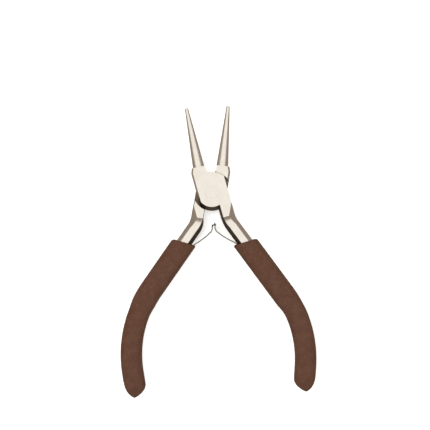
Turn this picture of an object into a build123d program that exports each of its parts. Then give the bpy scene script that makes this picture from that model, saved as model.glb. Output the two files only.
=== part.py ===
# Round nose pliers with a lap joint, a hooked pair of leaf springs and dipped grips.
#
# Frame: +Z is the thickness of the pliers, so they lie flat, and +Y runs from the pivot to the
# jaws, halfway between them. The origin is on the pivot's axis, on the back face of the joint.
# Each lever is drawn in a frame of its own: x = 0 is the line where the closed jaws meet, its jaw
# is on the -x side, its handle on the +x side, its plate between z = 0 and the outer face.
from build123d import *
from math import asin, atan2, cos, degrees, radians, sin, sqrt, tan
import os

# --- how far the sprung pliers stand open -----------------------------------------------------
jaw_opening = 25.1  # degrees between the levers when nothing presses the handles
closed_gap = 0.03  # from each jaw to the closing line

# --- joint ------------------------------------------------------------------------------------
joint_thickness = 9.0
lap_gap = 0.04  # film of oil between the two plates
swing_clearance = 0.12  # between a plate's rim and the recess that it turns in
crown_radius = 9.1  # rim of a plate between the jaws
disc_radius = 7.9  # rim of a plate below the pivot, at the forging's parting line
disc_face_radius = 6.2  # the same rim at the flat outer face
plate_edge = 7.05  # straight edge of a plate, above its own handle
plate_foot = -6.5  # where that edge runs into the handle
throat_radius = 0.8  # corner between a plate and its jaw

# --- jaws -------------------------------------------------------------------------------------
jaw_root_diameter = 5.1
jaw_tip_diameter = 1.5
jaw_length = 26.4
jaw_tip_round = 0.3
shoulder_height = 12.2  # from the pivot to the foot of the cone
block_side = 6.5  # outer side of the block under the cone, at the parting line
block_draft = 0.85  # how far that side leans in from there to the flat face
block_corner_width = 0.8
block_corner_drop = 1.9

# --- handles, with all lengths along the handle's middle line ---------------------------------
shank_offset = 4.2  # from the closing line
shank_top = -3.5
shank_length = 8.5
shank_full = 3.5  # length over which the flat face keeps its width
shank_bend_radius = 12.0
front_handle_angle = 20.9  # degrees by which the handle leaves the closing line
front_handle_straight = 41.5
front_hip_radius = 30.0
front_hip_turn = 15.2
front_palm_turn = 24.5
rear_handle_angle = 25.3  # bent further out than the front one, in one long curve
rear_handle_straight = 31.9
rear_hip_radius = 50.0
rear_hip_turn = 10.0
rear_palm_turn = 34.0
palm_radius = 50.0
tail_length = 11.8
front_rim = 3.3  # from the middle line to the shank's inner side, left as forged
rear_rim = 2.4  # the same on the rear lever, dressed flat
shank_side = 3.0  # from the middle line to the shank's outer side
shank_tuck = 0.35  # by which that side is drawn in at the top, inside the plate
shank_face_inner = 2.2  # from the middle line to the inner edge of the flat face
shank_face_outer = 2.55  # from the middle line to its outer edge
shank_face_point = 0.35  # the same where the face has narrowed, above the ramp
ramp_start = 8.2  # where the shank begins to thin down to the tang
ramp_steps = 4  # straight lengths that make up the ramp
tang_width = 6.4
tang_thickness = 5.0
tang_face = 3.0  # flat width of the tang
tang_end_scale = 0.72  # of the tang's section at its hidden end
tang_end_cover = 7.0  # grip left beyond the tang
tang_steps = 6  # straight lengths that make up the curve of the tang
parting_land = 0.8  # height of the strip where the forging's flash is trimmed off

# --- grips ------------------------------------------------------------------------------------
grip_mouth = -23.6  # dip line, square to the closing line
grip_width = 10.4
grip_thickness = 9.0
palm_grip_width = 9.5
palm_grip_thickness = 8.6
grip_corner = 3.6  # radius of the grip's section
grip_corner_share = 0.46  # of the shorter side, which no corner passes
grip_lip = 1.2  # radius of the rolled lip
grip_steps = 10  # straight lengths that make up the curve of the grip
palm_share = 0.3  # share of the curve over which the grip narrows
tail_width = 6.4
tail_thickness = 6.2
tail_round = 2.2

# --- rivet ------------------------------------------------------------------------------------
rivet_diameter = 4.0
rivet_head_diameter = 5.4
rivet_head_depth = 0.7
running_clearance = 0.03  # radial, where the front lever turns on the rivet

# --- leaf springs, as they stand when the pliers are sprung open -------------------------------
leaf_thickness = 0.6
leaf_width = 4.2
leaf_spacing = 1.15  # between the middles of the two upright ends
leaf_tip = -13.2  # top of the leaf with the window
leaf_upright = 1.9
leaf_knee_radius = 3.0
leaf_knee_turn = 48.0
leaf_bow_radius = 30.0
leaf_bow_turn = 12.0
leaf_kick_radius = 2.0  # bend where a leaf comes away from its handle
leaf_root_length = 11.0  # held between handle and grip
leaf_seat_gap = 0.02  # between a leaf and the handle that it lies on
leaf_slot_clearance = 0.05  # between a leaf and its grip, all round
window_width = 2.4
window_height = 1.0
window_bar = 0.45  # metal above the window
tongue_width = 2.0
tongue_neck = 1.2  # length over which the leaf is cut down to the tongue, below its bend
tongue_bend_radius = 0.5
tongue_reach = 0.5  # how far the tongue stands out beyond the window
spring_rivet_diameter = 1.6
spring_rivet_head = 2.8
spring_rivet_head_height = 0.5
spring_rivet_head_edge = 0.3  # radius of the head's rim
spring_rivet_length = 4.0  # into the handle
spring_rivet_inset = 3.5  # from the leaf's inner end
spring_rivet_clearance = 0.03  # radial, in the leaf

half_opening = jaw_opening / 2
middle = joint_thickness / 2
flank = asin((jaw_root_diameter - jaw_tip_diameter) / 2 / jaw_length)
face_inner = shank_offset - shank_face_inner
crown_recess = crown_radius + swing_clearance
rivet_head_angle = 2 * degrees(atan2((rivet_head_diameter - rivet_diameter) / 2, rivet_head_depth))
disc_recess = disc_radius + swing_clearance


def lever_frame(front):
    """The lever's own frame at rest: the rear lever is the front one turned over about +Y."""
    side = 1 if front else -1
    turn = radians(half_opening)
    return Plane(
        origin=(0, 0, middle),
        x_dir=(side * cos(turn), sin(turn), 0),
        z_dir=(0, 0, side),
    )


def round_pivot(radius, start, end):
    """Arc about the pivot between two points that are as far from it, the short way."""
    between = Vector(*start) + Vector(*end)
    return ThreePointArc(start, between.normalized() * radius, end)


def on_circle(radius, x, side=1):
    """Point of a circle about the pivot at a given x, above or below the pivot."""
    return Vector(x, side * sqrt(radius**2 - x**2))


def block_outline(side):
    """Top, bevelled corner and outer side of the block under the cone, down to the pivot."""
    corner = side - block_corner_width
    top = Line((-closed_gap, shoulder_height), (-corner, shoulder_height + corner * tan(flank)))
    return top, Line(top @ 1, (-side, shoulder_height - block_corner_drop))


def outer_half(frame, rim):
    """The half with the plate: it is the whole thickness of the joint's own side."""
    with BuildPart() as half:
        for height, side, disc, inner in (
            (lap_gap / 2, block_side, disc_radius, shank_offset - rim),
            (middle, block_side - block_draft, disc_face_radius, face_inner),
        ):
            with BuildSketch(frame.offset(height)):
                with BuildLine():
                    top, bevel = block_outline(side)
                    left = Line(bevel @ 1, on_circle(disc, -side, -1))
                    lower_rim = round_pivot(disc, left @ 1, on_circle(disc, inner, -1))
                    foot = Line(lower_rim @ 1, (plate_edge, plate_foot))
                    edge = Line(foot @ 1, on_circle(crown_radius, plate_edge))
                    crown_end = on_circle(crown_radius, -closed_gap)
                    round_pivot(crown_radius, edge @ 1, crown_end)
                    Line(crown_end, top @ 0)
                make_face()
                fillet(vertices().sort_by_distance(crown_end)[0], throat_radius)
        loft()
    return half.part


def inner_half(frame):
    """The half that faces the other lever: only the block under the cone, above its recess."""
    with BuildPart() as half:
        for height, side in ((-lap_gap / 2, block_side), (-middle, block_side - block_draft)):
            with BuildSketch(frame.offset(height)):
                with BuildLine():
                    top, bevel = block_outline(side)
                    left = Line(bevel @ 1, on_circle(crown_recess, -side))
                    recess_end = on_circle(crown_recess, -closed_gap)
                    round_pivot(crown_recess, left @ 1, recess_end)
                    Line(recess_end, top @ 0)
                make_face()
                fillet(vertices().sort_by_distance(recess_end)[0], throat_radius)
        loft()
    return half.part


def handle_bends(front):
    """A handle's angle, straight length, hip radius, hip turn and palm turn."""
    if front:
        return (
            front_handle_angle,
            front_handle_straight,
            front_hip_radius,
            front_hip_turn,
            front_palm_turn,
        )
    return (
        rear_handle_angle,
        rear_handle_straight,
        rear_hip_radius,
        rear_hip_turn,
        rear_palm_turn,
    )


def handle_stations(front):
    """Distances along a handle to its straight, hip, tail and end."""
    angle, straight, hip_radius, hip_turn, palm_turn = handle_bends(front)
    straight_start = shank_length + radians(angle) * shank_bend_radius
    hip_start = straight_start + straight
    tail_start = hip_start + radians(hip_turn) * hip_radius + radians(palm_turn) * palm_radius
    return straight_start, hip_start, tail_start, tail_start + tail_length


def handle_line(front):
    """Middle line of a handle, from inside the joint to the far end of its grip."""
    angle, straight, hip_radius, hip_turn, palm_turn = handle_bends(front)
    with BuildLine(lever_frame(front)) as line:
        shank = Line((shank_offset, shank_top), (shank_offset, shank_top - shank_length))
        bend = JernArc(shank @ 1, shank % 1, shank_bend_radius, angle)
        held = Line(bend @ 1, bend @ 1 + bend % 1 * straight)
        hip = JernArc(held @ 1, held % 1, hip_radius, -hip_turn)
        palm = JernArc(hip @ 1, hip % 1, palm_radius, -palm_turn)
        Line(palm @ 1, palm @ 1 + palm % 1 * tail_length)
    return line.wire()


def across(line, distance, frame):
    """Plane across the handle's middle line: x outwards, y through the thickness."""
    along = line.tangent_at(distance, position_mode=PositionMode.LENGTH)
    return Plane(
        origin=line.position_at(distance, position_mode=PositionMode.LENGTH),
        x_dir=along.cross(frame.z_dir) * -1,
        z_dir=along,
    )


def forged_section(plane, outer, inner, face_outer, face_inner_edge, half_thickness):
    """Section of a forging: two flat faces, drafted sides and a trimmed land along the parting."""
    land = parting_land / 2
    with BuildSketch(plane) as section:
        with BuildLine():
            Polyline(
                (face_outer, half_thickness),
                (outer, land),
                (outer, -land),
                (face_outer, -half_thickness),
                (-face_inner_edge, -half_thickness),
                (-inner, -land),
                (-inner, land),
                (-face_inner_edge, half_thickness),
                close=True,
            )
        make_face()
    return section.sketch


def shank_sections(front, rim):
    """Distance along the handle, then the sizes of its forged section there."""
    straight_start, hip_start, tail_start, handle_end = handle_stations(front)
    wide = tang_width / 2
    flat = tang_face / 2
    thin = tang_thickness / 2
    tucked = (shank_side - shank_tuck, rim, shank_face_outer - shank_tuck, shank_face_inner, middle)
    sections = [
        (0, *tucked),
        (shank_full, shank_side, rim, shank_face_outer, shank_face_inner, middle),
    ]
    for step in range(ramp_steps + 1):
        share = step / ramp_steps
        rest = 1 - share
        outer = wide + (shank_side - wide) * rest
        inner = wide + (rim - wide) * rest**3
        face_outer = flat + (shank_face_point - flat) * rest
        face_inner_edge = flat + (shank_face_inner - flat) * rest
        half_thickness = thin + (middle - thin) * rest**3
        distance = ramp_start + (straight_start - ramp_start) * share
        sections.append((distance, outer, inner, face_outer, face_inner_edge, half_thickness))
    sections.append((hip_start, wide, wide, flat, flat, thin))
    curved = handle_end - tang_end_cover - hip_start
    for step in range(1, tang_steps + 1):
        share = step / tang_steps
        scale = 1 - (1 - tang_end_scale) * share
        sizes = (wide * scale, wide * scale, flat * scale, flat * scale, thin * scale)
        sections.append((hip_start + curved * share, *sizes))
    return sections


def make_lever(front, rim, bore_diameter, head_clearance):
    """One forged lever: cone, block, plate, shank and the tang inside the grip."""
    frame = lever_frame(front)
    line = handle_line(front)
    with BuildPart() as lever:
        loft(
            [
                forged_section(across(line, distance, frame), *sizes)
                for distance, *sizes in shank_sections(front, rim)
            ],
            ruled=True,
        )
        with Locations(frame.offset(-middle)):
            Cylinder(
                disc_recess,
                middle + lap_gap / 2,
                align=(Align.CENTER, Align.CENTER, Align.MIN),
                mode=Mode.SUBTRACT,
            )
        add(outer_half(frame, rim))
        add(inner_half(frame))
        foot = Plane(
            origin=frame.from_local_coords(
                (
                    -closed_gap - jaw_root_diameter / 2 * cos(flank),
                    shoulder_height + jaw_root_diameter / 2 * sin(flank),
                    0,
                )
            ),
            x_dir=frame.z_dir,
            z_dir=frame.x_dir * sin(flank) + frame.y_dir * cos(flank),
        )
        with Locations(foot):
            Cone(
                jaw_root_diameter / 2,
                jaw_tip_diameter / 2,
                jaw_length * cos(flank),
                align=(Align.CENTER, Align.CENTER, Align.MIN),
            )
        tip = foot.offset(jaw_length * cos(flank)).origin
        fillet(edges().filter_by(GeomType.CIRCLE).sort_by_distance(tip)[0], jaw_tip_round)
        with Locations(frame.offset(middle)):
            CounterSinkHole(
                bore_diameter / 2,
                rivet_head_diameter / 2 + head_clearance,
                counter_sink_angle=rivet_head_angle,
            )
    return lever.part


def leaf_root(front):
    """Plane across the handle where it becomes straight: x outwards, z down along it."""
    straight_start = handle_stations(front)[0]
    return across(handle_line(front), straight_start, lever_frame(front))


def leaf_line(front):
    """Middle line of a leaf, from its tip over its knee and bow to its root along the handle."""
    side = 1 if front else -1
    root = leaf_root(front)
    inward = root.x_dir * -1
    seat = root.origin + inward * (tang_width / 2 + leaf_seat_gap + leaf_thickness / 2)
    beside = side * leaf_spacing / 2
    tongue_height = leaf_tip - window_bar - window_height / 2
    if front:
        upright = Line((beside, leaf_tip), (beside, leaf_tip - leaf_upright))
    else:
        reach = -beside + leaf_thickness / 2 + tongue_reach
        tongue = Line((reach, tongue_height), (beside + tongue_bend_radius, tongue_height))
        bend = JernArc(tongue @ 1, tongue % 1, tongue_bend_radius, 90)
        upright = Line(bend @ 1, (beside, leaf_tip - leaf_upright))
    knee = JernArc(upright @ 1, upright % 1, leaf_knee_radius, side * leaf_knee_turn)
    bow = JernArc(knee @ 1, knee % 1, leaf_bow_radius, side * leaf_bow_turn)
    to_seat = Vector(seat.X, seat.Y) - bow @ 1
    meet = bow @ 1 + bow % 1 * (to_seat.dot(inward) / (bow % 1).dot(inward))
    FilletPolyline(bow @ 1, meet, meet + root.z_dir * leaf_root_length, radius=leaf_kick_radius)


def make_leaf(front, clearance=0.0):
    """A leaf of spring strip bent on edge, or with a clearance the slot that it needs."""
    width = leaf_width + 2 * clearance
    with BuildPart() as leaf:
        with BuildSketch(Plane.XY.offset(middle - width / 2)):
            with BuildLine():
                leaf_line(front)
            trace(line_width=leaf_thickness + 2 * clearance)
        extrude(amount=width)
    return leaf.part


def spring_rivet_seat(front):
    """Plane on the leaf's free side at its rivet, facing out of the handle."""
    with BuildLine() as line:
        leaf_line(front)
    root_end = line.wire() @ 1
    root = leaf_root(front)
    inward = root.x_dir * -1
    on_leaf = root_end - root.z_dir * spring_rivet_inset + inward * leaf_thickness / 2
    return Plane(origin=(on_leaf.X, on_leaf.Y, middle), x_dir=root.z_dir, z_dir=inward)


def make_spring_rivet(front):
    """Small round-headed rivet that holds a leaf on its handle."""
    seat = spring_rivet_seat(front)
    depth = leaf_thickness + leaf_seat_gap + spring_rivet_length
    with BuildPart() as rivet:
        with BuildSketch(seat):
            Circle(spring_rivet_head / 2)
        extrude(amount=spring_rivet_head_height)
        top = faces().sort_by_distance(seat.offset(spring_rivet_head_height).origin)[0]
        fillet(top.edges(), spring_rivet_head_edge)
        with BuildSketch(seat):
            Circle(spring_rivet_diameter / 2)
        extrude(amount=-depth)
    return rivet.part


def grip_section(plane, width, thickness):
    """Rounded section of the dipped coat."""
    with BuildSketch(plane) as section:
        widest_corner = grip_corner_share * min(width, thickness)
        RectangleRounded(width, thickness, min(grip_corner, widest_corner))
    return section.sketch


def make_grip(front, lever, leaf_slot, spring_rivet):
    """Vinyl dipped over the tang and over the root of its leaf, cast round both."""
    frame = lever_frame(front)
    line = handle_line(front)
    straight_start, hip_start, tail_start, handle_end = handle_stations(front)
    sections = [(straight_start, grip_width, grip_thickness), (hip_start, grip_width, grip_thickness)]
    curve = tail_start - hip_start
    for step in range(1, grip_steps + 1):
        share = step / grip_steps
        narrowing = min(1, share / palm_share)
        width = grip_width + (palm_grip_width - grip_width) * narrowing
        thickness = grip_thickness + (palm_grip_thickness - grip_thickness) * narrowing
        sections.append((hip_start + curve * share, width, thickness))
    sections.append((handle_end, tail_width, tail_thickness))
    with BuildPart() as grip:
        loft(
            [grip_section(across(line, distance, frame), *sizes) for distance, *sizes in sections],
            ruled=True,
        )
        fillet(faces().sort_by_distance(line @ 1)[0].edges(), tail_round)
        mouth = Plane(
            origin=frame.from_local_coords((0, grip_mouth, 0)),
            x_dir=frame.x_dir,
            z_dir=frame.y_dir,
        )
        split(bisect_by=mouth, keep=Keep.BOTTOM)
        fillet(faces().sort_by(Axis(mouth.origin, mouth.z_dir))[-1].edges(), grip_lip)
        add(lever, mode=Mode.SUBTRACT)
        add(leaf_slot, mode=Mode.SUBTRACT)
        add(spring_rivet, mode=Mode.SUBTRACT)
    return grip.part


os.makedirs("parts", exist_ok=True)

with BuildPart() as pivot_rivet:
    with BuildSketch(Plane.XZ):
        with BuildLine():
            Polyline(
                (0, 0),
                (rivet_head_diameter / 2, 0),
                (rivet_diameter / 2, rivet_head_depth),
                (rivet_diameter / 2, joint_thickness - rivet_head_depth),
                (rivet_head_diameter / 2, joint_thickness),
                (0, joint_thickness),
                close=True,
            )
        make_face()
    revolve(axis=Axis.Z)
pivot_rivet.part.label = "pivot_rivet"
export_step(pivot_rivet.part, "parts/pivot_rivet.step")

with BuildPart() as spring_leaf_right:
    add(make_leaf(True))
    with BuildSketch(Plane.YZ):
        with Locations((leaf_tip - window_bar - window_height / 2, middle)):
            Rectangle(window_height, window_width)
    extrude(amount=leaf_spacing, mode=Mode.SUBTRACT)
    with Locations(spring_rivet_seat(True)):
        Hole(spring_rivet_diameter / 2 + spring_rivet_clearance)
spring_leaf_right.part.label = "spring_leaf_right"
export_step(spring_leaf_right.part, "parts/spring_leaf_right.step")

tongue_top = leaf_tip - window_bar - window_height / 2 + leaf_thickness / 2
with BuildPart() as spring_leaf_left:
    add(make_leaf(False))
    for edge in (-1, 1):
        with BuildSketch(Plane.XY.offset(middle + edge * tongue_width / 2)):
            with Locations((0, tongue_top)):
                Rectangle(2 * (leaf_spacing + tongue_reach), 2 * tongue_neck)
        extrude(amount=edge * leaf_width, mode=Mode.SUBTRACT)
    with Locations(spring_rivet_seat(False)):
        Hole(spring_rivet_diameter / 2 + spring_rivet_clearance)
spring_leaf_left.part.label = "spring_leaf_left"
export_step(spring_leaf_left.part, "parts/spring_leaf_left.step")

with BuildPart() as spring_rivet_right:
    add(make_spring_rivet(True))
spring_rivet_right.part.label = "spring_rivet_right"
export_step(spring_rivet_right.part, "parts/spring_rivet_right.step")

with BuildPart() as spring_rivet_left:
    add(make_spring_rivet(False))
spring_rivet_left.part.label = "spring_rivet_left"
export_step(spring_rivet_left.part, "parts/spring_rivet_left.step")

with BuildPart() as front_lever:
    add(make_lever(True, front_rim, rivet_diameter + 2 * running_clearance, running_clearance))
    add(spring_rivet_right.part, mode=Mode.SUBTRACT)
front_lever.part.label = "front_lever"
export_step(front_lever.part, "parts/front_lever.step")

with BuildPart() as rear_lever:
    add(make_lever(False, rear_rim, rivet_diameter, 0))
    add(spring_rivet_left.part, mode=Mode.SUBTRACT)
rear_lever.part.label = "rear_lever"
export_step(rear_lever.part, "parts/rear_lever.step")

with BuildPart() as grip_right:
    slot = make_leaf(True, leaf_slot_clearance)
    add(make_grip(True, front_lever.part, slot, spring_rivet_right.part))
grip_right.part.label = "grip_right"
export_step(grip_right.part, "parts/grip_right.step")

with BuildPart() as grip_left:
    slot = make_leaf(False, leaf_slot_clearance)
    add(make_grip(False, rear_lever.part, slot, spring_rivet_left.part))
grip_left.part.label = "grip_left"
export_step(grip_left.part, "parts/grip_left.step")
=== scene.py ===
import math

import bmesh
import bpy
import numpy as np
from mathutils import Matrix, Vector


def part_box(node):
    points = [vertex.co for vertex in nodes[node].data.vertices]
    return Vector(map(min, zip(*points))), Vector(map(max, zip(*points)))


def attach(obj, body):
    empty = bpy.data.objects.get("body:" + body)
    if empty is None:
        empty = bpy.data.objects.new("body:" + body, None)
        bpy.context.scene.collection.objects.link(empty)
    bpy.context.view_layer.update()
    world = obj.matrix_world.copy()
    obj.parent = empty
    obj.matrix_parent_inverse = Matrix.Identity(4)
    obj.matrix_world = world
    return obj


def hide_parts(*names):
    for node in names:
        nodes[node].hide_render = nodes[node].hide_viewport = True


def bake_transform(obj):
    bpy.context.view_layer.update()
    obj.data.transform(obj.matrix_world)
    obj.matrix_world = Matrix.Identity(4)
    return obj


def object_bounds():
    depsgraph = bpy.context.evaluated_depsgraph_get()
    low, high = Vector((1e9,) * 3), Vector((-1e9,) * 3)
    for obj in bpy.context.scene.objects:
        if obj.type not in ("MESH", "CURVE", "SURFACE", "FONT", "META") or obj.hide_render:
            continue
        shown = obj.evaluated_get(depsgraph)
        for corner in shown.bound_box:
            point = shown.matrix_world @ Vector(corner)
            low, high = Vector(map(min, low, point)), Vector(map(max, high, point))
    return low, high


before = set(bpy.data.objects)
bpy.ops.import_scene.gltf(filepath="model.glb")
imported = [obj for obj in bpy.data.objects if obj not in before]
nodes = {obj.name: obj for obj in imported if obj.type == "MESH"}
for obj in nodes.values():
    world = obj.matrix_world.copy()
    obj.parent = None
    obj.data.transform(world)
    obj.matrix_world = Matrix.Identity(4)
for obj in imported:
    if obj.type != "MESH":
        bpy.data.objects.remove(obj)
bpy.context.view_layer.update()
mm = 0.001


# ---- The two levers -------------------------------------------------------------------------
# Each lever is one drop forging of carbon steel: cone, block, plate, shank and tang. The cones and
# the flat faces are ground and nickel plated, and the flanks are only tumbled. Painted shade darkens
# the inner sides below the pivot, the plate's rim and the lap faces. All edges are broken in the
# tumbling drum.


def add(tree, kind, inputs=None, **settings):
    """Adds one shader node: a socket given for an input is linked, any other value is set."""
    made = tree.nodes.new(kind)
    for name, value in settings.items():
        setattr(made, name, value)
    for name, value in (inputs or {}).items():
        if isinstance(value, bpy.types.NodeSocket):
            tree.links.new(value, made.inputs[name])
        else:
            made.inputs[name].default_value = value
    return made


def colour(code):
    """Linear colour of an sRGB hex value: each channel by the sRGB curve, its foot straight."""
    channels = np.array([int(code[i : i + 2], 16) for i in (1, 3, 5)]) / 255
    straight = channels / 12.92
    curved = ((channels + 0.055) / 1.055) ** 2.4
    return (*np.where(channels <= 0.04045, straight, curved), 1.0)


def material(name):
    """An empty material, and its tree with a shader that is joined to the output."""
    made = bpy.data.materials.new(name)
    made.use_nodes = True
    made.node_tree.nodes.clear()
    shader = add(made.node_tree, "ShaderNodeBsdfPrincipled")
    add(made.node_tree, "ShaderNodeOutputMaterial", {"Surface": shader.outputs["BSDF"]})
    return made, made.node_tree, shader


def ramp(tree, factor, low, high, low_value, high_value):
    """Value that goes smoothly from low_value to high_value as factor goes from low to high."""
    return add(
        tree,
        "ShaderNodeMapRange",
        {"Value": factor, "From Min": low, "From Max": high, "To Min": low_value, "To Max": high_value},
        interpolation_type="SMOOTHSTEP",
        clamp=True,
    ).outputs["Result"]


def noise(tree, place, scale, detail):
    """Noise between 0 and 1, with that many cells to a metre, or to a unit of a mapped place."""
    inputs = {"Vector": place, "Scale": scale, "Detail": detail}
    return add(tree, "ShaderNodeTexNoise", inputs).outputs["Fac"]


def mixed(tree, factor, first, second):
    """Colour between two colours, each a hex value or a socket."""
    mix = add(tree, "ShaderNodeMix", data_type="RGBA")
    for socket, value in ((mix.inputs[0], factor), (mix.inputs[6], first), (mix.inputs[7], second)):
        if isinstance(value, bpy.types.NodeSocket):
            tree.links.new(value, socket)
        else:
            socket.default_value = colour(value)
    return mix.outputs[2]


# Nickel over ground steel: a warm bright grey, satin, with the belt's fine lines running along the
# tool, real ones 0.05 mm apart and drawn at 0.18 mm. Where the painted-shade attribute is 1 it is
# painted shade instead: a dark brown-grey, rough and finely pitted, with pits of about 0.3 mm.
plated_steel, tree, shader = material("satin_nickel_on_ground_steel")
place = add(tree, "ShaderNodeTexCoord").outputs["Object"]
belt_pitch, belt_stroke, pit_size, cloud_size = 0.18 * mm, 5 * mm, 0.3 * mm, 4 * mm
along_tool = add(
    tree,
    "ShaderNodeMapping",
    {"Vector": place, "Scale": (1 / belt_pitch, 1 / belt_stroke, 1 / belt_pitch)},
).outputs["Vector"]
belt = noise(tree, along_tool, 1.0, 3.0)
pits = noise(tree, place, 1 / pit_size, 4.0)
clouds = noise(tree, place, 1 / cloud_size, 2.0)
# Painted shade: share of the dark colour on faces where shade falls on the forging.
shade_share = add(tree, "ShaderNodeAttribute", attribute_name="painted_shade").outputs["Fac"]
nickel = mixed(tree, ramp(tree, clouds, 0.3, 0.7, 0.0, 1.0), "#E0DAD3", "#DBD4CB")
# Colour of the painted shade, a dark brown-grey.
shade_colour = mixed(tree, ramp(tree, pits, 0.35, 0.65, 0.0, 1.0), "#665B4E", "#857A6C")
tree.links.new(mixed(tree, shade_share, nickel, shade_colour), shader.inputs["Base Color"])
satin = ramp(tree, belt, 0.25, 0.75, 0.24, 0.34)
rough = add(
    tree,
    "ShaderNodeMix",
    {"Factor": shade_share, "A": satin, "B": 0.55},
    data_type="FLOAT",
).outputs["Result"]
tree.links.new(rough, shader.inputs["Roughness"])
shader.inputs["Metallic"].default_value = 1.0
relief = add(
    tree,
    "ShaderNodeMix",
    {"Factor": shade_share, "A": belt, "B": pits},
    data_type="FLOAT",
).outputs["Result"]
bump = add(tree, "ShaderNodeBump", {"Height": relief, "Strength": 0.12, "Distance": 0.02 * mm})
tree.links.new(bump.outputs["Normal"], shader.inputs["Normal"])

joint_low, joint_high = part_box("pivot_rivet")
joint_middle = (joint_low.z + joint_high.z) / 2
half_opening = math.radians(12.55)


def lever_to_frame(points, side):
    """Points of a lever's own frame, in mm, in the tool's frame, in metres. The right handle's
    lever has side 1: its frame is turned by half the opening about the pivot. The left handle's
    has side -1, and is the same frame turned over about its y axis."""
    x, y, z = np.moveaxis(np.asarray(points, float), -1, 0)
    turned_x = side * (x * math.cos(half_opening)) - side * y * math.sin(half_opening)
    turned_y = x * math.sin(half_opening) + y * math.cos(half_opening)
    return np.stack((turned_x * mm, turned_y * mm, side * z * mm + joint_middle), -1)


def dressed_copy(node, name, edge_width):
    """Copy of a CAD piece with its points merged, its flat faces made whole and every edge that
    is sharper than a bend of 28 degrees broken to a rounded land of that width. What the bevel
    leaves open where lands meet is merged and filled."""
    same_point, same_plane, sharp_edge, shaded_edge = 0.002 * mm, 1, 28, 32
    torn_reach = 0.06 * mm
    made = bmesh.new()
    made.from_mesh(nodes[node].data)
    bmesh.ops.remove_doubles(made, verts=made.verts, dist=same_point)
    bmesh.ops.dissolve_limit(
        made, angle_limit=math.radians(same_plane), verts=made.verts, edges=made.edges
    )
    sharp = [e for e in made.edges if e.calc_face_angle(0) > math.radians(sharp_edge)]
    bmesh.ops.bevel(
        made,
        geom=sharp,
        offset=edge_width,
        offset_type="WIDTH",
        segments=2,
        profile=0.5,
        affect="EDGES",
        clamp_overlap=True,
    )
    torn = {v for e in made.edges if len(e.link_faces) != 2 for v in e.verts}
    bmesh.ops.remove_doubles(made, verts=list(torn), dist=torn_reach)
    bmesh.ops.holes_fill(made, edges=[e for e in made.edges if e.is_boundary], sides=6)
    mesh = bpy.data.meshes.new(name)
    made.to_mesh(mesh)
    made.free()
    mesh.polygons.foreach_set("use_smooth", np.ones(len(mesh.polygons), bool))
    mesh.set_sharp_from_angle(angle=math.radians(shaded_edge))
    piece = bpy.data.objects.new(name, mesh)
    bpy.context.scene.collection.objects.link(piece)
    return piece


def paint_lever_shade(piece, side):
    """Writes the attribute of painted shade: 1 on faces below the pivot that look at the other handle,
    on the rim of the plate and where the levers lie on each other, all places where shade falls, and 0
    on all other faces."""
    mesh = piece.data
    count = len(mesh.polygons)
    normals, centres = np.zeros(count * 3, np.float32), np.zeros(count * 3, np.float32)
    mesh.polygons.foreach_get("normal", normals)
    mesh.polygons.foreach_get("center", centres)
    normals, centres = normals.reshape(-1, 3), centres.reshape(-1, 3) / mm
    inward, facing = np.array((-side, -0.35, 0.0)), 0.3
    flat, near_lap = 0.9, 0.5
    plate_reach, rim_facing = 8.5, -0.15
    looks_in = normals @ inward > facing
    upright = np.abs(normals[:, 2]) < flat
    low = centres[:, 1] < 0.0
    rim = (np.hypot(centres[:, 0], centres[:, 1]) < plate_reach) & (normals[:, 1] < rim_facing)
    lap = ~upright & (np.abs(centres[:, 2] - joint_middle / mm) < near_lap)
    # Painted shade: 1 where shade falls on the forging, 0 elsewhere.
    shown = mesh.attributes.new("painted_shade", "FLOAT", "FACE")
    shown.data.foreach_set("value", ((looks_in | rim) & upright & low | lap).astype(np.float32))


broken_edge = 0.14 * mm
for node, side, body in (("front_lever", 1, "front_half"), ("rear_lever", -1, "rear_half")):
    lever = dressed_copy(node, f"{node}_forging", broken_edge)
    # Paints shade onto the inner sides, the plate's rim and the lap faces.
    paint_lever_shade(lever, side)
    lever.data.materials.append(plated_steel)
    ground = lever.modifiers.new("flat_ground_faces", "WEIGHTED_NORMAL")
    ground.keep_sharp = True
    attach(lever, body)
    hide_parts(node)


# ---- The rivet ------------------------------------------------------------------------------
# A steel rivet with two countersunk heads, closed cold and then ground and plated with the faces
# of the joint, so that only a hairline ring shows where it sits.

rivet_steel, tree, shader = material("satin_ground_rivet_steel")
place = add(tree, "ShaderNodeTexCoord").outputs["Object"]
along_tool = add(
    tree,
    "ShaderNodeMapping",
    {"Vector": place, "Scale": (1 / belt_pitch, 1 / belt_stroke, 1 / belt_pitch)},
).outputs["Vector"]
belt = noise(tree, along_tool, 1.0, 3.0)
tree.links.new(mixed(tree, belt, "#E0DAD3", "#DBD4CB"), shader.inputs["Base Color"])
tree.links.new(ramp(tree, belt, 0.25, 0.75, 0.25, 0.36), shader.inputs["Roughness"])
shader.inputs["Metallic"].default_value = 1.0
bump = add(tree, "ShaderNodeBump", {"Height": belt, "Strength": 0.12, "Distance": 0.02 * mm})
tree.links.new(bump.outputs["Normal"], shader.inputs["Normal"])
for node in ("pivot_rivet", "spring_rivet_left", "spring_rivet_right"):
    nodes[node].data.materials[0] = rivet_steel


# ---- The leaf springs -----------------------------------------------------------------------
# Two strips of hardened spring steel, 4.2 mm wide and 0.6 mm thick, bent on edge and riveted to
# the tangs under the grips. The left one ends in a tongue that hooks through the right one's
# window. Those ends are painted blue-black as the shade that falls where the tongue hooks through.

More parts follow.
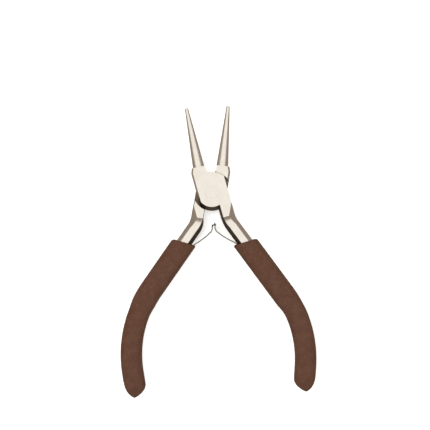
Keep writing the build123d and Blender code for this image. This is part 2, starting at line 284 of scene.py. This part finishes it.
right_angle, left_angle = 20.9, 25.3
leaf_thickness, leaf_width, leaf_beside, leaf_tip = 0.6, 4.2, 0.575, -13.2
leaf_edge_round, row_step, column_step = 0.08, 0.15, 0.5
window_bar, window_height, window_width = 0.45, 1.0, 2.4
tongue_length, tongue_radius, tongue_width, tongue_neck = 1.25, 0.5, 2.0, 0.4
knee_top, knee_radius, knee_turn = -15.1, 3.0, 48
bow_radius, bow_turn, kick_radius, root_length = 30.0, 12, 2.0, 10.5
bow_end = -90 + knee_turn + bow_turn
right_flat, left_flat = 2.61, 3.98
# Length of the painted shade at each hooked end, and how far it fades.
right_tip_shade, left_tip_shade, tip_shade_fade = 1.3, 2.6, 0.8


def bent_line(start, heading, runs, at):
    """Points and headings at distances along a line of straight and round runs. Each run is its
    length and the degrees that it turns: the heading is linear in the distance over a run, and
    the points are the running sum of the heading's direction."""
    lengths, turns = np.array(runs, float).T
    ends = np.concatenate(([0], np.cumsum(lengths)))
    fine = np.linspace(0, ends[-1], 6001)
    turned = np.interp(fine, ends, np.concatenate(([0], np.cumsum(turns))))
    headings = np.radians(heading + turned)
    forward = np.stack((np.cos(headings), np.sin(headings)), -1)
    moves = (forward[1:] + forward[:-1]) / 2 * np.diff(fine)[:, None]
    points = np.concatenate(([start], start + np.cumsum(moves, 0)))
    x, y, turned = (np.interp(at, fine, values) for values in (*points.T, headings))
    return np.stack((x, y), -1), turned


def round_run(radius, turn):
    """Length and turn of a run of that radius."""
    return math.radians(abs(turn)) * radius, turn


def grid_faces(rows, columns, keep=None, closed=False):
    """Corner numbers of the four-sided faces of a grid, counted row by row; closed joins its last
    column to its first, and keep drops the cells where it is False."""
    cells = columns if closed else columns - 1
    row, column = np.meshgrid(np.arange(rows - 1), np.arange(cells), indexing="ij")
    beside = (column + 1) % columns
    corners = np.stack((row, row, row + 1, row + 1), -1) * columns
    corners = corners + np.stack((column, beside, beside, column), -1)
    return corners.reshape(-1, 4) if keep is None else corners[keep]


def surface(name, points, faces):
    """Object of those points, in metres, and faces, shaded smooth, without its unused points."""
    used, corners = np.unique(faces, return_inverse=True)
    mesh = bpy.data.meshes.new(name)
    mesh.from_pydata(points[used].tolist(), [], corners.reshape(faces.shape).tolist())
    mesh.polygons.foreach_set("use_smooth", np.ones(len(mesh.polygons), bool))
    mesh.update()
    piece = bpy.data.objects.new(name, mesh)
    bpy.context.scene.collection.objects.link(piece)
    return piece, used


def stops(low, high, step, *marks):
    """Sorted values from low to high about a step apart, with every mark among them."""
    even = np.linspace(low, high, round((high - low) / step) + 1)
    return np.unique(np.concatenate((even, marks)).round(5))


def leaf_spring(name, side, handle_angle, flat):
    """Sheet whose rows follow the leaf's line, and whose columns cross its width in z: the cells
    beside the tongue, or in the window, are left out, and the sheet is then given its thickness.
    Also gives the point of the line where the leaf comes away from its handle."""
    along = handle_angle + math.degrees(half_opening) - 90
    kick = round_run(kick_radius, along - bow_end)
    knee, bow = round_run(knee_radius, knee_turn), round_run(bow_radius, bow_turn)
    runs = [knee, bow, (flat, 0), kick, (root_length, 0)]
    if side > 0:
        start, heading = (leaf_beside, leaf_tip), -90
        runs = [(leaf_tip - knee_top, 0), *runs]
        marks = window_bar, window_bar + window_height
    else:
        hook = leaf_tip - window_bar - window_height / 2
        start, heading = (leaf_beside - tongue_radius - tongue_length, hook), 0
        drop = hook - tongue_radius - knee_top
        bend = round_run(tongue_radius, -90)
        runs = [(tongue_length, 0), bend, (drop, 0), *runs]
        marks = (tongue_length + bend[0] + tongue_neck,)
    total = sum(length for length, turn in runs)
    at = stops(0, total, row_step, *marks)
    half = leaf_width / 2
    cut = (window_width if side > 0 else tongue_width) / 2
    across = stops(-half, half, column_step, -cut, cut)
    points = bent_line(start, heading, runs, at)[0]
    middle_at, middle_across = (at[1:] + at[:-1]) / 2, (across[1:] + across[:-1]) / 2
    inside = np.abs(middle_across)[None] < cut
    if side > 0:
        keep = ~(inside & (middle_at > marks[0])[:, None] & (middle_at < marks[1])[:, None])
    else:
        keep = inside | (middle_at > marks[0])[:, None]
    grid = np.empty((len(at), len(across), 3))
    grid[..., 0] = side * points[:, :1] * mm
    grid[..., 1] = points[:, 1:] * mm
    grid[..., 2] = joint_middle + across[None] * mm
    leaf, used = surface(name, grid.reshape(-1, 3), grid_faces(len(at), len(across), keep))
    if side < 0:
        leaf.data.flip_normals()
    # Painted shade at the hooked end, fading out along the leaf.
    tip_shading = np.clip(((right_tip_shade if side > 0 else left_tip_shade) - at) / tip_shade_fade, 0, 1)
    shaded_tip = leaf.data.attributes.new("shaded_tip", "FLOAT", "POINT")
    shaded_tip.data.foreach_set("value", np.repeat(tip_shading, len(across))[used].astype(np.float32))
    wall = leaf.modifiers.new("thickness", "SOLIDIFY")
    wall.thickness, wall.offset, wall.use_even_offset = leaf_thickness * mm, 0, True
    edges = leaf.modifiers.new("edges", "BEVEL")
    edges.width, edges.segments, edges.limit_method = leaf_edge_round * mm, 2, "ANGLE"
    edges.angle_limit = math.radians(50)
    leave = points[np.argmin(np.abs(at - (total - root_length - kick[0])))]
    return leaf, leave


# Rolled and hardened strip: a cooler, darker grey than the nickel, fairly smooth, with a fine
# unevenness of 0.15 mm from rolling, and painted blue-black shade at the hooked ends.
spring_steel, tree, shader = material("tempered_spring_strip")
place = add(tree, "ShaderNodeTexCoord").outputs["Object"]
rolling, temper_patch = 0.15 * mm, 1.2 * mm
lines = noise(tree, place, 1 / rolling, 3.0)
patches = noise(tree, place, 1 / temper_patch, 2.0)
strip = mixed(tree, ramp(tree, patches, 0.35, 0.65, 0.0, 1.0), "#8B8985", "#7F7D79")
# Painted shade at the hooked ends: a near-black blue-grey.
tip_shading = add(tree, "ShaderNodeAttribute", attribute_name="shaded_tip").outputs["Fac"]
tip_shade_colour = mixed(tree, ramp(tree, patches, 0.4, 0.6, 0.0, 1.0), "#17181B", "#262528")
tree.links.new(mixed(tree, tip_shading, strip, tip_shade_colour), shader.inputs["Base Color"])
tree.links.new(ramp(tree, lines, 0.3, 0.7, 0.3, 0.42), shader.inputs["Roughness"])
shader.inputs["Metallic"].default_value = 1.0
bump = add(tree, "ShaderNodeBump", {"Height": lines, "Strength": 0.1, "Distance": 0.02 * mm})
tree.links.new(bump.outputs["Normal"], shader.inputs["Normal"])

# Each leaf is made in place and stands in for its CAD piece, fixed to neither handle.
for side, word, angle, flat, handle in (
    (1, "right", right_angle, right_flat, "front_half"),
    (-1, "left", left_angle, left_flat, "rear_half"),
):
    leaf, leave = leaf_spring(f"leaf_spring_{word}", side, angle, flat)
    leaf.data.materials.append(spring_steel)
    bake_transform(leaf)
    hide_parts(f"spring_leaf_{word}")


# ---- The grips ------------------------------------------------------------------------------
# Each grip is one coat of brown vinyl plastisol: the warm tang was dipped in it, drawn out slowly
# and cured, which leaves a fine matt grain, a soft rounded lip at the dip line and a thick
# rounded end.

shank_top, shank_offset, shank_length, shank_radius = -3.5, 4.2, 8.5, 12.0
grip_width, palm_width, grip_half, palm_half = 10.3, 9.48, 4.5, 4.3
tang_half_width, tang_half_thickness = 3.1, 2.4
tang_cavity, lip_radius, squareness, slant_fade = 6.0, 1.0, 2.75, 12
palm_from, palm_full = 51.5, 58
grip_end, end_offset, end_blunt, end_rings_from = 95.2, 1.0, 0.3, 8
outer_run, inner_run, flat_run = 11, 6, 8
outer_power, inner_power, flat_power = 4, 2.4, 3
body_rings, end_rings, lip_rings, ring_points = 149, 39, 9, 72


def eased(value, low, high):
    """0 below low, 1 above high, and the cubic 3t^2 - 2t^3 between them."""
    t = np.clip((value - low) / (high - low), 0, 1)
    return t * t * (3 - 2 * t)


def grip(name, side, handle_angle, bends, mouth_y, mouth_tilt):
    """Rings of a superellipse carried along the handle's line, from the cavity that holds the tang
    out over the mouth and along the grip. The first rings stand on the dip line, so a point's
    distance along the handle grows with its offset from the middle line, and that slant fades
    out. The lip is a quarter of a circle from the flat mouth to the side. At the far end the inner
    and the outer side close in by powers of the distance left, and meet off the middle line."""
    runs = [(shank_length, 0), round_run(shank_radius, handle_angle), *bends]
    start = (shank_offset, shank_top)
    fine = np.linspace(0, sum(length for length, turn in runs), 2001)
    middle_line = bent_line(start, -90, runs, fine)[0]
    mouth = np.interp(-mouth_y, -middle_line[:, 1], fine)
    slant = math.tan(math.radians(handle_angle - mouth_tilt))
    quarter = np.linspace(0, math.pi / 2, lip_rings)
    lip_at = mouth + lip_radius * (1 - np.cos(quarter))
    body_at = np.linspace(mouth + lip_radius, grip_end - end_rings_from, body_rings + 1)[1:]
    closing = np.linspace(0, math.pi / 2, end_rings + 1)[1:]
    end_at = grip_end - end_rings_from * (1 - np.sin(closing))
    cavity_at = [mouth + tang_cavity, mouth + tang_cavity, mouth, mouth]
    at = np.concatenate((cavity_at, lip_at, body_at, end_at))
    lip_inset = lip_radius * (1 - np.sin(quarter))
    inset = np.concatenate((np.zeros(4), lip_inset, np.zeros(body_rings + end_rings)))
    palm = eased(at, palm_from, palm_full)
    half_width = (grip_width + (palm_width - grip_width) * palm) / 2
    half_thick = grip_half + (palm_half - grip_half) * palm
    ahead = np.clip(grip_end - at, 0, None)
    ahead = np.sqrt(ahead**2 + 2 * end_blunt * ahead) / math.sqrt(1 + 2 * end_blunt / outer_run)
    outer, inner, flat = (
        1 - (1 - np.clip(ahead / run, 0, 1)) ** power
        for run, power in ((outer_run, outer_power), (inner_run, inner_power), (flat_run, flat_power))
    )
    high = end_offset + (half_width - end_offset) * outer - inset
    low = end_offset - (half_width + end_offset) * inner + inset
    thick = half_thick * flat - inset
    open_share = np.array((0, 1, 1))
    high[:3] = tang_half_width * open_share
    low[:3] = -tang_half_width * open_share
    thick[:3] = tang_half_thickness * open_share
    high[3], low[3], thick[3] = high[4], low[4], thick[4]
    around = np.linspace(0, 2 * math.pi, ring_points, endpoint=False)
    across = np.sign(np.cos(around)) * np.abs(np.cos(around)) ** (2 / squareness)
    upward = np.sign(np.sin(around)) * np.abs(np.sin(around)) ** (2 / squareness)
    offset = (high + low)[:, None] / 2 + (high - low)[:, None] / 2 * across
    fade = 1 - eased(at - mouth, 0, slant_fade)
    fade[:2] = 1
    distance = at[:, None] + offset * slant * fade[:, None]
    line, headings = bent_line(start, -90, runs, distance.ravel())
    outward = np.stack((-np.sin(headings), np.cos(headings)), -1)
    spots = line + offset.reshape(-1, 1) * outward
    height = (thick[:, None] * upward).reshape(-1, 1)
    points = lever_to_frame(np.concatenate((spots, height), 1), side)
    faces = grid_faces(len(at), len(around), closed=True)
    piece = surface(name, points, faces)[0]
    made = bmesh.new()
    made.from_mesh(piece.data)
    bmesh.ops.remove_doubles(made, verts=made.verts, dist=0.002 * mm)
    bmesh.ops.recalc_face_normals(made, faces=made.faces)
    made.to_mesh(piece.data)
    made.free()
    piece.data.polygons.foreach_set("use_smooth", np.ones(len(piece.data.polygons), bool))
    return piece


# Cured plastisol, matt: warm chocolate brown with slightly redder and greyer clouds, a fine leathery
# grain of 0.35 mm, drawn a little coarser than the real 0.2 mm so that it shows.
dipped_vinyl, tree, shader = material("matt_dipped_vinyl")
place = add(tree, "ShaderNodeTexCoord").outputs["Object"]
grain_size, cloud_size, flow_size = 0.35 * mm, 3 * mm, 14 * mm
grain = noise(tree, place, 1 / grain_size, 3.0)
clouds = noise(tree, place, 1 / cloud_size, 3.0)
flow = noise(tree, place, 1 / flow_size, 1.0)
warm = mixed(tree, ramp(tree, clouds, 0.3, 0.7, 0.0, 1.0), "#563625", "#604031")
vinyl = mixed(tree, ramp(tree, grain, 0.35, 0.65, 0.0, 0.8), warm, "#482A1D")
tree.links.new(vinyl, shader.inputs["Base Color"])
tree.links.new(ramp(tree, flow, 0.3, 0.7, 0.56, 0.66), shader.inputs["Roughness"])
shader.inputs["Specular IOR Level"].default_value = 0.3
bump = add(tree, "ShaderNodeBump", {"Height": grain, "Strength": 0.35, "Distance": 0.05 * mm})
tree.links.new(bump.outputs["Normal"], shader.inputs["Normal"])

# Each side's straight, hip, palm and tail, and then the dip line: its height at the middle of the
# handle, and how far it is turned from square to the closing line.
tail = (13.0, 0)
right_bends = [(41.5, 0), round_run(30.0, -15.2), round_run(50.0, -24.5), tail]
left_bends = [(31.9, 0), round_run(50.0, -10.0), round_run(50.0, -34.0), tail]
right_mouth, right_tilt, left_mouth, left_tilt = -24.65, 1.6, -23.4, 6.7
for side, word, angle, bends, mouth_y, mouth_tilt, body in (
    (1, "right", right_angle, right_bends, right_mouth, right_tilt, "front_half"),
    (-1, "left", left_angle, left_bends, left_mouth, left_tilt, "rear_half"),
):
    coat = grip(f"dipped_grip_{word}", side, angle, bends, mouth_y, mouth_tilt)
    coat.data.materials.append(dipped_vinyl)
    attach(coat, body)
    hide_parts(f"grip_{word}")


# ---- Floor, light and camera ----------------------------------------------------------------
# A white light table, softly lit from below, under a large soft light, with the camera straight
# above the joint.

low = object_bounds()[0]
table, tree, shader = material("white_table")
place = add(tree, "ShaderNodeTexCoord").outputs["Object"]
fibre_size = 2 * mm
fibre = noise(tree, place, 1 / fibre_size, 2.0)
tree.links.new(mixed(tree, fibre, "#FAFAF9", "#FDFDFD"), shader.inputs["Base Color"])
shader.inputs["Roughness"].default_value = 0.9
shader.inputs["Specular IOR Level"].default_value = 0.1
shader.inputs["Emission Color"].default_value = colour("#FFFFFF")
shader.inputs["Emission Strength"].default_value = 0.45
reach, floor_gap = 3.0, 0.02 * mm
floor_mesh = bpy.data.meshes.new("floor")
top = low.z - floor_gap
corners = [(-reach, -reach, top), (reach, -reach, top), (reach, reach, top), (-reach, reach, top)]
floor_mesh.from_pydata(corners, [], [(0, 1, 2, 3)])
floor = bpy.data.objects.new("floor", floor_mesh)
bpy.context.scene.collection.objects.link(floor)
floor.data.materials.append(table)
floor.visible_glossy = False

world = bpy.data.worlds.new("studio")
bpy.context.scene.world = world
world.use_nodes = True
tree = world.node_tree
tree.nodes.clear()
skyward = add(tree, "ShaderNodeTexCoord").outputs["Generated"]
height = add(tree, "ShaderNodeSeparateXYZ", {"Vector": skyward}).outputs["Z"]
# The walls of the room are dim and warm, and the ceiling is bright: turned steel shows both.
wall_top, ceiling_edge, wall_light, ceiling_light = 0.34, 0.72, 0.34, 1.22
glow = ramp(tree, height, wall_top, ceiling_edge, wall_light, ceiling_light)
whiter = ramp(tree, height, wall_top, ceiling_edge, 0.0, 1.0)
tint = mixed(tree, whiter, "#FFEEDD", "#FFFEFA")
background = add(tree, "ShaderNodeBackground", {"Color": tint, "Strength": glow})
add(tree, "ShaderNodeOutputWorld", {"Surface": background.outputs["Background"]})

lamp = bpy.data.lights.new("soft_box", "AREA")
lamp.shape, lamp.size, lamp.size_y, lamp.energy = "RECTANGLE", 0.6, 0.6, 2.8
lamp.color = colour("#FFF9F0")[:3]
soft_box = bpy.data.objects.new("soft_box", lamp)
soft_box.location = (-0.25, 0.2, 0.8)
soft_box.rotation_euler = (-0.25, -0.3, 0)
soft_box.visible_glossy = False
bpy.context.scene.collection.objects.link(soft_box)

lens = bpy.data.cameras.new("camera")
lens.lens, lens.sensor_width = 150, 36
camera = bpy.data.objects.new("camera", lens)
roll, frame_width = math.radians(3.05), 188.5 * mm
view_x, view_y = 0.87 * mm, -9.78 * mm
camera_height = joint_middle + frame_width * lens.lens / lens.sensor_width
camera.location = (view_x, view_y, camera_height)
camera.rotation_euler = (0, 0, -roll)
bpy.context.scene.collection.objects.link(camera)
bpy.context.scene.camera = camera
bpy.context.scene.view_settings.view_transform = "Standard"
